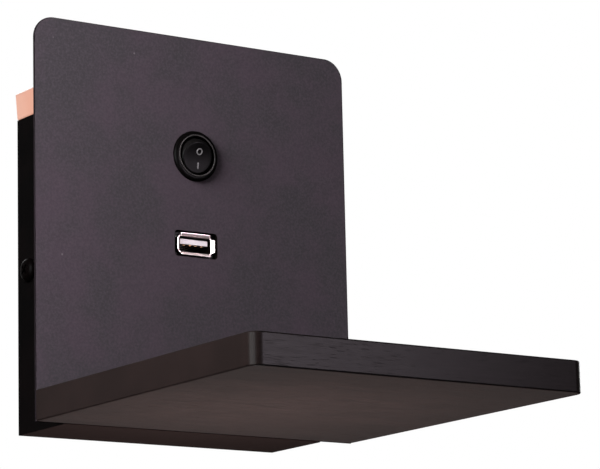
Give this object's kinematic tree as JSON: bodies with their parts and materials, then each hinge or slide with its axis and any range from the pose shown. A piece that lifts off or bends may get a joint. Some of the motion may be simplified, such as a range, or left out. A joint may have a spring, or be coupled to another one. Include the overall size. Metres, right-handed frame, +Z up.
{
  "type": "wall lamp with shelf",
  "caption": "Wall lamp with a flat front plate, rocker switch and charging socket, a shelf board below and a steel box behind it under an opal light cap.",
  "frame": {"origin": "middle of the wall bracket's two slots, on the wall plane", "axes": "+X to the right along the wall as seen from the room, +Y into the wall, +Z up; the shelf and the plate face -Y"},
  "size_m": [0.125, 0.1592, 0.1365],
  "materials": {
    "zinc_steel": "bright zinc plating, fine grain",
    "bush_rubber": "matte",
    "black_screw": "black plated, satin",
    "black_paint": "black fine-texture powder coat",
    "graphite_paint": "dark grey fine-texture powder coat, matt",
    "stained_wood": "black stain and satin lacquer, fine grain along the width",
    "opal_cap": "opal, lit from inside, satin",
    "bare_aluminium": "mill finish",
    "white_board": "white solder mask",
    "led_yellow": "phosphor, glowing",
    "driver_case": "moulded, fine texture",
    "terminal_plastic": "moulded, satin",
    "bare_brass": "bare, satin",
    "switch_black": "moulded, semi-gloss",
    "rocker_black": "moulded, satin",
    "mark_print": "pad print",
    "spring_steel": "bright drawn wire",
    "plunger_nylon": "natural nylon",
    "sleeve_vinyl": "soft vinyl",
    "plated_shell": "bright nickel plating",
    "tongue_white": "moulded, satin",
    "gold_contact": "gold flash",
    "green_board": "green solder mask",
    "coil_tape": "yellow polyester tape",
    "capacitor_sleeve": "shrink sleeve",
    "holder_black": "moulded, fine texture",
    "wire_brown": "extruded, satin",
    "wire_black": "extruded, satin",
    "wire_blue": "extruded, satin",
    "wire_green_yellow": "extruded, green with a yellow stripe",
    "wire_red": "extruded, satin"
  },
  "bodies": {
    "lamp": {"wall_bracket": "zinc_steel", "cable_bush": "bush_rubber", "side_screws": "black_screw", "back_box": "black_paint", "front_plate": "graphite_paint", "plate_studs": "zinc_steel", "plate_nuts": "zinc_steel", "shelf_board": "stained_wood", "shelf_screws": "zinc_steel", "light_cap": "opal_cap", "led_carrier": "bare_aluminium", "led_board": "white_board", "led_chips": "led_yellow", "led_board_screws": "zinc_steel", "led_driver": "driver_case", "driver_screws": "zinc_steel", "terminal_block": "terminal_plastic", "terminal_clamps": "bare_brass", "terminal_screws": "zinc_steel", "block_screws": "zinc_steel", "earth_screw": "bare_brass", "earth_lug": "bare_brass", "switch_housing": "switch_black", "switch_terminals": "bare_brass", "spade_sleeves": "sleeve_vinyl", "socket_shell": "plated_shell", "socket_tongue": "tongue_white", "socket_contacts": "gold_contact", "charger_board": "green_board", "charger_transformer": "coil_tape", "charger_capacitor": "capacitor_sleeve", "charger_holder": "holder_black", "charger_screws": "zinc_steel", "live_wire": "wire_brown", "switched_wire": "wire_black", "neutral_wire": "wire_blue", "earth_wire": "wire_green_yellow", "led_plus_wire": "wire_red", "led_minus_wire": "wire_black"},
    "rocker": {"switch_rocker": "rocker_black", "switch_marks": "mark_print", "switch_spring": "spring_steel", "switch_plunger": "plunger_nylon"},
    "bridge": {"switch_bridge": "bare_brass"}
  },
  "joints": [
    {"name": "rocker_tilt", "type": "hinge", "parent": "lamp", "child": "rocker", "pos_m": [0, -0.0312, 0.0399], "axis": [-1, 0, 0], "range_deg": [0, 28]},
    {"name": "bridge_tilt", "type": "hinge", "parent": "lamp", "child": "bridge", "pos_m": [0, -0.023, 0.0399], "axis": [1, 0, 0], "range_deg": [0, 16]}
  ],
  "couplings": [
    {"joint": "bridge_tilt", "follows": "rocker_tilt", "ratio": 0.57142}
  ]
}
